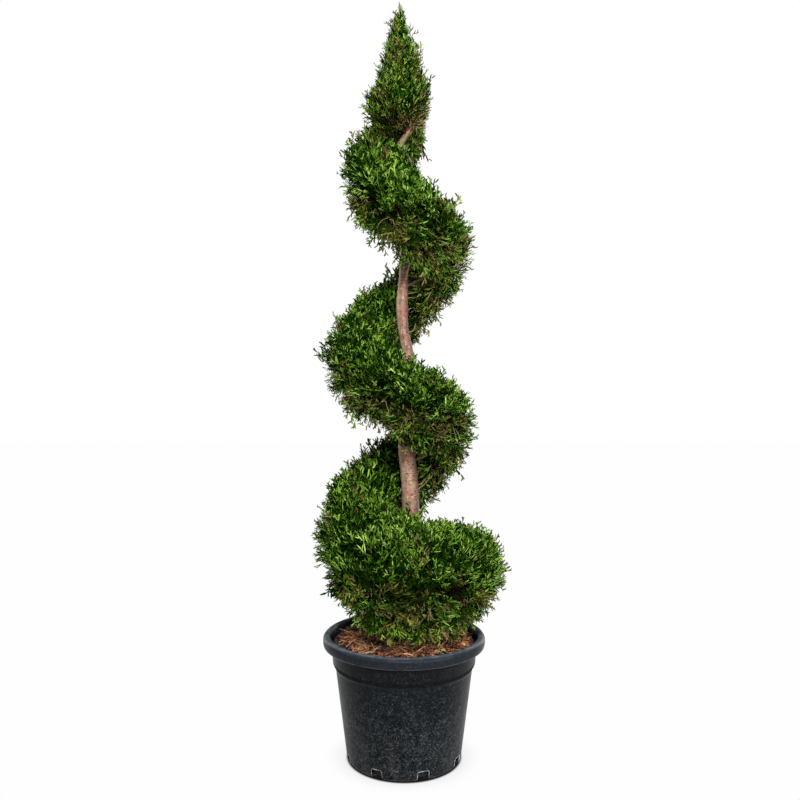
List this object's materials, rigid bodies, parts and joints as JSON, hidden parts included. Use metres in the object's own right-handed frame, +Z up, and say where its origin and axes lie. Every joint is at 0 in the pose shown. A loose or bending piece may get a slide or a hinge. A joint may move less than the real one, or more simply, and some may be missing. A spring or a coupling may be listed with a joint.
{
  "type": "potted spiral topiary conifer",
  "caption": "Clipped conifer in a round nursery pot: an evergreen spiral of foliage winds down a bare trunk below a pointed crown, for a garden, patio or doorway.",
  "frame": {"origin": "centre of the pot's flat underside", "axes": "+Z up along the trunk, the plant's best side faces -Y, +X to the right of someone who looks at it"},
  "size_m": [0.4989, 0.5112, 1.88],
  "materials": {
    "pot_plastic": "satin black blow-moulded plastic with dust specks and light scuffs",
    "compost": "coarse red-brown bark mulch over compost",
    "bark": "pinkish tan smooth bark with dark knots",
    "bough_bark": "brown bark",
    "foliage": "dense clipped scale leaves, mid green with brighter tips"
  },
  "bodies": {
    "root": {"pot": "pot_plastic", "compost": "compost", "trunk": "bark", "bough_right0": "bough_bark", "foliage_right0": "foliage", "bough_back0": "bough_bark", "foliage_back0": "foliage", "bough_left1": "bough_bark", "foliage_left1": "foliage", "bough_front1": "bough_bark", "foliage_front1": "foliage", "bough_right1": "bough_bark", "foliage_right1": "foliage", "bough_back1": "bough_bark", "foliage_back1": "foliage", "bough_left2": "bough_bark", "foliage_left2": "foliage", "bough_front2": "bough_bark", "foliage_front2": "foliage", "bough_right2": "bough_bark", "foliage_right2": "foliage", "bough_back2": "bough_bark", "foliage_back2": "foliage", "bough_left3": "bough_bark", "foliage_left3": "foliage", "bough_front3": "bough_bark", "foliage_front3": "foliage", "bough_right3": "bough_bark", "foliage_right3": "foliage", "bough_back3": "bough_bark", "foliage_back3": "foliage", "foliage_crown": "foliage"}
  },
  "joints": []
}
